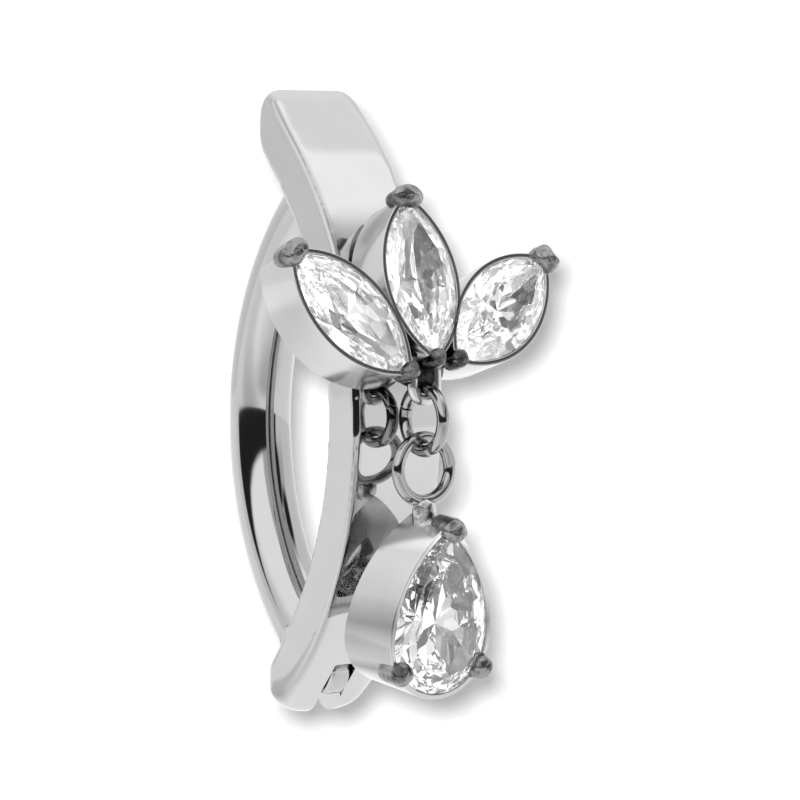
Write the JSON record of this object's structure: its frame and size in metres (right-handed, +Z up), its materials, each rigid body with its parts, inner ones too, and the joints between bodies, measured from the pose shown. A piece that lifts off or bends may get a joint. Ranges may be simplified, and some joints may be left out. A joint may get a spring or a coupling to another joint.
{
  "type": "dangle belly button ring",
  "caption": "Hinged navel ring: round back bar, wide polished front band, fan of marquise stones in cups, and a pear stone hanging from small links.",
  "frame": {"origin": "middle of the back bar's centreline, where the piercing sits on it", "axes": "+Z up along the bar at its middle, -Y towards the front face with the stones, +X across the band"},
  "size_m": [0.0084, 0.0095, 0.0158],
  "materials": {
    "polished_steel": "mirror-polished surgical steel",
    "cast_steel": "cast steel, tumbled and polished, with a slightly uneven skin",
    "stone": "clear faceted cubic zirconia"
  },
  "bodies": {
    "bar": {"back_bar": "polished_steel"},
    "band": {"front_band": "polished_steel", "hinge_pin": "cast_steel", "marquise_setting": "cast_steel", "marquise_stone_left": "stone", "marquise_stone_center": "stone", "marquise_stone_right": "stone"},
    "link": {"upper_link": "polished_steel"},
    "drop": {"pear_setting": "cast_steel", "pear_stone": "stone"}
  },
  "joints": [
    {"name": "band_hinge", "type": "hinge", "parent": "bar", "child": "band", "pos_m": [0, -0.00308, -0.0063], "axis": [1, 0, 0], "range_deg": [0, 75]},
    {"name": "link_swing", "type": "hinge", "parent": "band", "child": "link", "pos_m": [0, -0.00722, 0.00078], "axis": [-1, 0, 0], "range_deg": [-8, 45]},
    {"name": "drop_swing", "type": "hinge", "parent": "link", "child": "drop", "pos_m": [0, -0.00722, -0.00048], "axis": [0, 1, 0], "range_deg": [-30, 30]}
  ]
}
